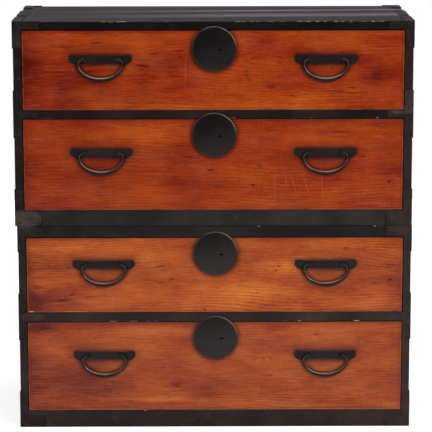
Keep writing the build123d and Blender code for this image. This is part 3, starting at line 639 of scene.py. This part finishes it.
def bail_iron():
    """Black forged bar with a bright strip along its inner front, partly wear where hands pull and partly a
    painted highlight.
    """
    shader = Shader("forged_iron")
    here = shader.object_coords
    cloud = shader.noise(here, 60.0, 3, 0.6)
    dents = shader.noise(here, 150.0, 2, 0.5)
    speck = shader.noise(here, 420.0, 2, 0.6)
    rub_and_highlight = shader.node("ShaderNodeAttribute")
    rub_and_highlight.attribute_name = "rub_and_highlight"
    # bright strip along the inner front: rubbed wear and painted highlight
    bright = shader.ease(shader.add(rub_and_highlight.outputs["Fac"], shader.times(cloud, 0.24), -0.12), 0.72, 0.98)
    colour = shader.mix(shader.ease(cloud, 0.4, 0.7, 0.0, 0.7), srgb(42, 34, 33), srgb(60, 50, 46))
    colour = shader.mix(bright, colour, srgb(104, 96, 90))
    colour = shader.mix(shader.times(shader.ease(speck, 0.62, 0.75), 0.3), colour, srgb(88, 62, 46))
    height = shader.add(shader.times(dents, 0.2), shader.times(speck, 0.12))
    return shader.set(base_color=colour, roughness=shader.add(0.30, shader.times(cloud, 0.12)), metallic=0.85,
                      normal=shader.bump(height, 0.35 * MM, 0.6), specular=0.5)


def lock_plate_iron(drawer):
    """Black plate painted lighter towards its foot and to the right as a reflection on its dome, with a brown
    rim, partly wear and partly a painted highlight, brighter towards the top and brightest at the upper
    right.
    """
    low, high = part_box(f"{drawer}_lock_plate")
    middle = (low + high) / 2
    shader = Shader(f"{drawer}_lock_plate_iron")
    here = shader.placed(shader.object_coords, shift=tuple(-middle))
    x, y, z = shader.split(here)
    cloud = shader.noise(here, 34.0, 4, 0.6)
    pits = shader.noise(here, 300.0, 3, 0.6)
    wide = shader.noise(here, 11.0, 2, 0.5)
    # lighter towards the foot and to the right: painted reflection on the dome
    tone = shader.add(shader.times(z, -5.5), shader.times(x, 2.0), shader.times(cloud, 0.5),
                      shader.times(wide, 0.4), -0.15)
    colour = shader.ramp(tone, [(0.0, PLATE_LOOKS[drawer][0]), (1.0, PLATE_LOOKS[drawer][1])])
    colour = shader.mix(shader.times(shader.ease(pits, 0.60, 0.72), 0.4), colour, srgb(66, 58, 52))
    # brown rim, stronger towards the top: partly wear and partly painted highlight
    out = shader.math("SQRT", shader.add(shader.times(x, x), shader.times(z, z)))
    rim = shader.ease(out, LOCK_R - 3.2 * MM, LOCK_R - 2.0 * MM)
    rim = shader.times(rim, shader.ease(z, -45 * MM, 25 * MM, 0.25, 1.0))
    colour = shader.mix(shader.times(rim, shader.ease(cloud, 0.35, 0.6, 0.25, 0.8)), colour, srgb(70, 54, 44))
    # upper right of the rim painted bright: painted highlight from the key lamp
    right = shader.times(rim, shader.ease(x, 5 * MM, 35 * MM), shader.ease(z, 0.0, 25 * MM))
    colour = shader.mix(shader.times(right, 0.5), colour, srgb(132, 118, 106))
    height = shader.add(shader.times(cloud, 0.6), shader.times(pits, 0.25))
    return shader.set(base_color=colour, roughness=shader.add(0.26, shader.times(cloud, 0.18)),
                      normal=shader.bump(height, 0.3 * MM, 0.5), specular=0.32)


def bare_wood(name, light, dark, grain, planks=None):
    """Unfinished softwood with growth rings and fibres along the board; planks: foot and height of each."""
    shader = Shader(name)
    here = shader.object_coords
    bend = shader.noise(shader.placed(here, tuple(g * 0.06 for g in grain)), 1.0, 2, 0.5)
    ring = shader.math("POWER", shader.math("FRACT", shader.times(bend, 26.0)), 2.0)
    fibre = shader.noise(shader.placed(here, grain), 1.0, 4, 0.65)
    age = shader.noise(here, 5.0, 3, 0.5)
    tone = shader.add(shader.times(ring, 0.35), shader.times(fibre, 0.5), shader.times(age, 0.4))
    groove = 0.0
    if planks is not None:
        foot, plank_h = planks
        level = shader.times(shader.math("SUBTRACT", shader.split(here)[2], foot), 1 / plank_h)
        plank = shader.math("FLOOR", level)
        tone = shader.add(tone, shader.times(shader.math("SINE", shader.times(plank, 4.1)), 0.10))
        from_seam = shader.math("SUBTRACT", level, shader.math("ROUND", level))
        seam = shader.times(shader.math("ABSOLUTE", from_seam), plank_h)
        groove = shader.ease(seam, 0.5 * MM, 2.4 * MM, 1.0, 0.0)
    colour = shader.ramp(tone, [(0.2, light), (1.0, dark)])
    colour = shader.mix(shader.times(groove, 0.85), colour, tuple(c * 0.12 for c in dark))
    height = shader.add(shader.times(fibre, 1.0), shader.times(ring, 0.4), shader.times(groove, -3.0))
    return shader.set(base_color=colour, roughness=0.72, normal=shader.bump(height, 0.3 * MM, 0.5),
                      specular=0.3)


ALONG_X = (6, 260, 260)
ALONG_Z = (260, 260, 6)
ALONG_Y = (260, 6, 260)

upper_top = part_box("upper_top_board")
upper_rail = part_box("upper_shelf")
lower_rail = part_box("lower_shelf")
lower_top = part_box("lower_top_board")
upper_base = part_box("upper_base")
lower_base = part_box("lower_base")

M = {
    "forged": bail_iron(),
    # The tall greyer places at x 500 paint the irons on the right side lighter: painted light from the key
    # lamp on that side, as on the side boards.
    "sheet": black_iron("sheet_iron", srgb(20, 10, 10), srgb(66, 54, 50), 0.42, 0.4, 0.10, 0.22, 0.36, [
        (-497, 570, 50, 28, 0.75), (497, 859, 40, 14, 0.75), (500, 260, 80, 400, 0.34),
        (500, 700, 80, 200, 0.14),
        (-500, 260, 80, 400, 0.10), (514, 893, 16, 24, 0.50), (-480, 303, 40, 14, 0.45)],
        upper_top[1].z + 0.3 * MM),
    "nail": black_iron("nail_iron", srgb(28, 20, 19), srgb(50, 42, 40), 0.34, 0.4),
    "mount": black_iron("mount_iron", srgb(17, 11, 12), srgb(34, 27, 26), 0.36, 0.5, 0.2, 0.34),
    "lock": black_iron("lock_iron", srgb(96, 90, 84), srgb(120, 82, 56), 0.50, 0.4),
    "softwood_x": bare_wood("softwood_x", srgb(196, 160, 112), srgb(150, 110, 70), ALONG_X),
    "softwood_y": bare_wood("softwood_y", srgb(196, 160, 112), srgb(150, 110, 70), ALONG_Y),
}
for case in CASES:
    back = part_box(f"{case}_back_planks")
    M[f"{case}_side"] = case_lacquer(case, "side", ALONG_Z)
    M[f"{case}_back"] = bare_wood(f"{case}_back_wood", srgb(140, 106, 72), srgb(92, 64, 42), ALONG_X,
                                  (back[0].z, (back[1].z - back[0].z) / BACK_PLANKS))
# the top takes a painted sheen in bands, with dark seams between its planks
M["upper_top"] = case_lacquer("upper", "top", ALONG_X, (front_plane_y, upper_top[1].z), [
    (50, 200, 0.30), (214, 300, 0.50), (310, 470, 0.55), (-300, -203, 0.9), (-500, -470, 0.9)], top_sheen_and_seams)
M["upper_shelf"] = case_lacquer(
    "upper", "shelf", ALONG_X, (front_plane_y, upper_rail[1].z - RAIL_H["upper"]),
    [(40, 66, 1.0), (210, 262, 1.0), (410, 450, 0.8)])
M["upper_base"] = case_lacquer("upper", "base", ALONG_X, seam_z=upper_base[0].z)
M["lower_top"] = case_lacquer("lower", "top", ALONG_X, (front_plane_y, lower_top[1].z), [
    (112, 126, 1.0), (236, 248, 0.8), (420, 434, 1.0)], seam_z=lower_top[1].z)
M["lower_shelf"] = case_lacquer(
    "lower", "shelf", ALONG_X, (front_plane_y, lower_rail[1].z - RAIL_H["lower"]),
    [(-292, -165, 0.55), (-160, -130, 0.4), (176, 237, 0.9), (355, 392, 1.0)])
M["lower_base"] = case_lacquer("lower", "base", ALONG_X, (front_plane_y, lower_base[1].z), [
    (-190, -178, 0.9), (222, 232, 0.9)])


# ================================================================ CAD nodes that keep their shape
def dress(node, material, bevel, flatten=True):
    """Gives a CAD node its material, and rounds its edges by a small bevel."""
    piece = frame["nodes"][node]
    piece.data.materials.clear()
    piece.data.materials.append(material)
    if "custom_normal" in piece.data.attributes:
        piece.data.attributes.remove(piece.data.attributes["custom_normal"])
    for polygon in piece.data.polygons:
        polygon.use_smooth = True
        polygon.material_index = 0
    weld = piece.modifiers.new("weld", "WELD")
    weld.merge_threshold = 0.01 * MM
    if flatten:
        planar = piece.modifiers.new("planar", "DECIMATE")
        planar.decimate_type = "DISSOLVE"
        planar.angle_limit = math.radians(0.5)
    rounding = piece.modifiers.new("rounding", "BEVEL")
    rounding.width = bevel
    rounding.segments = 2
    rounding.limit_method = "ANGLE"
    rounding.angle_limit = math.radians(30)
    rounding.harden_normals = True
    rounding.use_clamp_overlap = True


for case in CASES:
    dress(f"{case}_side_boards", M[f"{case}_side"], 0.9 * MM)
    dress(f"{case}_shelf", M[f"{case}_shelf"], 0.9 * MM)
    dress(f"{case}_base", M[f"{case}_base"], 0.9 * MM)
    dress(f"{case}_back_planks", M[f"{case}_back"], 0.8 * MM)
    dress(f"{case}_corner_irons", M["sheet"], 0.45 * MM)
    dress(f"{case}_iron_nails", M["nail"], 0.2 * MM, flatten=False)
    dress(f"{case}_side_handle_mounts", M["mount"], 0.3 * MM, flatten=False)
dress("lower_top_board", M["lower_top"], 0.9 * MM)
dress("upper_top_board", M["upper_top"], 1.2 * MM)
for drawer in DRAWERS:
    M[drawer] = front_lacquer(drawer)
    dress(f"{drawer}_front", M[drawer], 0.9 * MM)
    dress(f"{drawer}_sides", M["softwood_y"], 0.6 * MM)
    dress(f"{drawer}_back", M["softwood_x"], 0.6 * MM)
    dress(f"{drawer}_bottom", M["softwood_x"], 0.5 * MM)
    dress(f"{drawer}_lock_plate", lock_plate_iron(drawer), 0.25 * MM, flatten=False)
    dress(f"{drawer}_lock_case", M["lock"], 0.3 * MM)
    dress(f"{drawer}_lock_bolt", M["lock"], 0.4 * MM)
    dress(f"{drawer}_handle_mounts", M["mount"], 0.3 * MM, flatten=False)


# ================================================================ forged bails
ACROSS = Vector((0, 1, 0))


def across_bar(direction):
    """Way out of the bail's loop, square to its bar."""
    return direction.cross(ACROSS).normalized()


def bar_ring(centre, direction, radius):
    """Eight-sided section with softened corners, square to a direction in the XZ plane."""
    up = across_bar(direction)
    points = []
    for corner in range(8):
        for offset in (-6, 6):
            turn = math.radians(22.5 + 45 * corner + offset)
            points.append(centre + (ACROSS * math.cos(turn) + up * math.sin(turn)) * radius)
    return points


def bail_path(eye_x, half_w, drop, end_r, mid_r):
    """Centre, direction and radius from the right knob round to the left one."""
    shoulder_x = eye_x + EYE_W / 2 + SHOULDER_GAP
    bend = half_w - shoulder_x
    tip = eye_x - EYE_W / 2 - KNOB_L
    half = []
    for along, radius in ((0, 1.2), (0.35, 2.5), (1.0, 3.3), (2.0, 3.7), (3.0, 3.5), (3.9, 2.9), (4.5, 2.4)):
        half.append((Vector((tip + along * MM, 0, 0)), Vector((1, 0, 0)), radius * MM))
    for x in (tip + 6 * MM, shoulder_x):
        half.append((Vector((x, 0, 0)), Vector((1, 0, 0)), PIVOT_R))
    for i in range(1, BEND_STEPS + 1):
        turn = math.pi / 2 * i / BEND_STEPS
        where = Vector((shoulder_x + bend * math.sin(turn), 0, bend * (math.cos(turn) - 1)))
        direction = Vector((math.cos(turn), 0, -math.sin(turn)))
        half.append((where, direction, PIVOT_R + (end_r - PIVOT_R) * i / BEND_STEPS))
    for i in range(1, GRIP_STEPS + 1):
        turn = math.pi / 2 * i / GRIP_STEPS
        where = Vector((half_w * math.cos(turn), 0, -bend - (drop - bend) * math.sin(turn)))
        direction = Vector((-half_w * math.sin(turn), 0, -(drop - bend) * math.cos(turn))).normalized()
        half.append((where, direction, end_r + (mid_r - end_r) * math.sin(turn) ** 2))
    mirror = Vector((-1, 1, 1))
    back = [(c * mirror, Vector((d.x, d.y, -d.z)), r) for c, d, r in reversed(half[:-1])]
    return half + back


def forged_bail(node, eye_x, half_w, drop, mid_r, seed):
    """Replaces a plain bail by a smoothly tapered forged bar."""
    pivot = joint_at[f"{node}_swing"]
    turn = Matrix.Identity(3)
    if abs(pivot["axis"][1]) > 0.5:
        turn = Matrix.Rotation(math.pi / 2 * -pivot["axis"][1], 3, "Z")
    bm = bmesh.new()
    rings = []
    rub_and_highlight = []
    for centre, direction, radius in bail_path(eye_x, half_w, drop, BAIL_END_R, mid_r):
        ring = bar_ring(centre, direction, radius)
        if radius > 2.6 * MM and abs(centre.z) > 1 * MM:
            ring = [point + wobble(point, 16 * MM, 0.12 * MM, seed) for point in ring]
        rings.append([turn @ point + Vector(pivot["pos_m"]) for point in ring])
        # the inner front of the bar is marked for the bright strip: wear where hands pull, and a painted
        # highlight
        facing = (across_bar(direction) * -1 - ACROSS).normalized()
        rub_and_highlight += [max(0.0, (point - centre).normalized().dot(facing)) for point in ring]
    add_tube(bm, rings)
    mesh = mesh_from(bm, node, 50)
    mesh.attributes.new("rub_and_highlight", "FLOAT", "POINT").data.foreach_set("value", rub_and_highlight)
    piece = add_object(f"{node}_forged", mesh, M["forged"], node)
    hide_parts(node)


seed = 0
for drawer in DRAWERS:
    for word in ("left", "right"):
        seed += 1
        forged_bail(f"{drawer}_{word}_bail", EYE_X, DRAWER_BAIL_HALF_W, DRAWER_BAIL_DROP,
                    DRAWER_BAIL_R, seed)
for case in CASES:
    for word in ("left", "right"):
        seed += 1
        forged_bail(f"{case}_side_{word}_bail", SIDE_EYE_X, SIDE_BAIL_HALF_W, SIDE_BAIL_DROP,
                    SIDE_BAIL_R, seed)


# ================================================================ studio
def studio_floor():
    """Large pale disc that keeps the chest's shadow and looks white to the camera."""
    bm = bmesh.new()
    bmesh.ops.create_circle(bm, cap_ends=True, radius=FLOOR_R, segments=96)
    mesh = bpy.data.meshes.new("floor")
    bm.to_mesh(mesh)
    bm.free()
    floor = bpy.data.objects.new("floor", mesh)
    floor.location.z = -0.5 * MM
    bpy.context.scene.collection.objects.link(floor)
    shader = Shader("floor_white")
    x, y, z = shader.split(shader.object_coords)
    away = shader.math("SQRT", shader.add(shader.times(x, x), shader.times(y, y)))
    path = shader.node("ShaderNodeLightPath").outputs
    shader.set(base_color=(0.80, 0.80, 0.80), roughness=0.9, specular=0.0)
    glow = shader.node("ShaderNodeEmission")
    shader.put(glow.inputs["Strength"], shader.times(
        path["Is Camera Ray"], shader.ease(away, 0.6, FLOOR_R * 0.8, NEAR_GLOW, 1.0)))
    both = shader.node("ShaderNodeAddShader")
    shader.put(both.inputs[0], shader.bsdf.outputs[0])
    shader.put(both.inputs[1], glow.outputs[0])
    shader.put(shader.output.inputs[0], both.outputs[0])
    mesh.materials.append(shader.material)


def studio_world():
    """White behind the chest, to the eye and in reflections; a dark room in front of it."""
    world = bpy.data.worlds.new("studio")
    bpy.context.scene.world = world
    world.use_nodes = True
    tree = world.node_tree
    tree.nodes.clear()

    def link(value, socket):
        if isinstance(value, bpy.types.NodeSocket):
            tree.links.new(value, socket)
        else:
            socket.default_value = value

    def ramp(value, low, high, to_low, to_high):
        made = tree.nodes.new("ShaderNodeMapRange")
        made.interpolation_type = "SMOOTHSTEP"
        for socket, given in zip(made.inputs, (value, low, high, to_low, to_high)):
            link(given, socket)
        return made.outputs[0]

    def blend(share, a, b):
        made = tree.nodes.new("ShaderNodeMix")
        for socket, given in zip((made.inputs[0], made.inputs[2], made.inputs[3]), (share, a, b)):
            link(given, socket)
        return made.outputs[0]

    output = tree.nodes.new("ShaderNodeOutputWorld")
    background = tree.nodes.new("ShaderNodeBackground")
    path = tree.nodes.new("ShaderNodeLightPath").outputs
    direction = tree.nodes.new("ShaderNodeSeparateXYZ")
    tree.links.new(tree.nodes.new("ShaderNodeTexCoord").outputs["Generated"], direction.inputs[0])
    behind = ramp(direction.outputs["Y"], -0.2, 0.8, 0.0, 1.0)
    backdrop = ramp(direction.outputs["Z"], -0.12, 0.28, 1.0, 0.08)
    mirrored = blend(behind, ROOM_GLOSS, backdrop)
    gloss_or_glass = tree.nodes.new("ShaderNodeMath")
    gloss_or_glass.operation = "MAXIMUM"
    link(path["Is Glossy Ray"], gloss_or_glass.inputs[0])
    link(path["Is Transmission Ray"], gloss_or_glass.inputs[1])
    seen = blend(gloss_or_glass.outputs[0], AMBIENT, mirrored)
    background.inputs["Color"].default_value = (1, 1, 1, 1)
    link(blend(path["Is Camera Ray"], seen, 1.0), background.inputs["Strength"])
    tree.links.new(background.outputs[0], output.inputs[0])


def soft_box(name, where, aim, size, power):
    """Square area lamp that points at a place."""
    data = bpy.data.lights.new(name, "AREA")
    data.shape = "RECTANGLE"
    data.size, data.size_y = size
    data.energy = power
    lamp = bpy.data.objects.new(name, data)
    bpy.context.scene.collection.objects.link(lamp)
    lamp.location = where
    lamp.rotation_mode = "QUATERNION"
    lamp.rotation_quaternion = (Vector(aim) - Vector(where)).to_track_quat("-Z", "Y")


def photo_camera():
    data = bpy.data.cameras.new("camera")
    data.sensor_width = SENSOR
    data.lens = LENS
    camera = bpy.data.objects.new("camera", data)
    bpy.context.scene.collection.objects.link(camera)
    ahead = Vector((math.sin(CAMERA_RIGHT_TURN) * math.cos(CAMERA_DOWN),
                    math.cos(CAMERA_RIGHT_TURN) * math.cos(CAMERA_DOWN), -math.sin(CAMERA_DOWN)))
    right = Vector((math.cos(CAMERA_RIGHT_TURN), -math.sin(CAMERA_RIGHT_TURN), 0))
    up = right.cross(ahead)
    turned_right = right * math.cos(CAMERA_ROLL) + up * math.sin(CAMERA_ROLL)
    turned_up = up * math.cos(CAMERA_ROLL) - right * math.sin(CAMERA_ROLL)
    axes = Matrix((turned_right, turned_up, -ahead)).transposed()
    where = Vector((-CAMERA_LEFT, front_plane_y - CAMERA_AWAY, CAMERA_HEIGHT))
    camera.matrix_world = Matrix.Translation(where) @ axes.to_4x4()
    data.clip_start = 0.1
    data.clip_end = 100
    bpy.context.scene.camera = camera


photo_camera()
studio_floor()
studio_world()
soft_box("key", (2.6, -3.4, 3.0), (0, 0, 0.55), (1.5, 1.5), 120)
soft_box("fill", (-3.0, -3.6, 2.2), (0, 0, 0.55), (2.0, 2.0), 46)
soft_box("top", (0.0, -0.6, 3.6), (0, 0, 0), (2.4, 1.6), 50)

scene = bpy.context.scene
scene.view_settings.view_transform = "Standard"
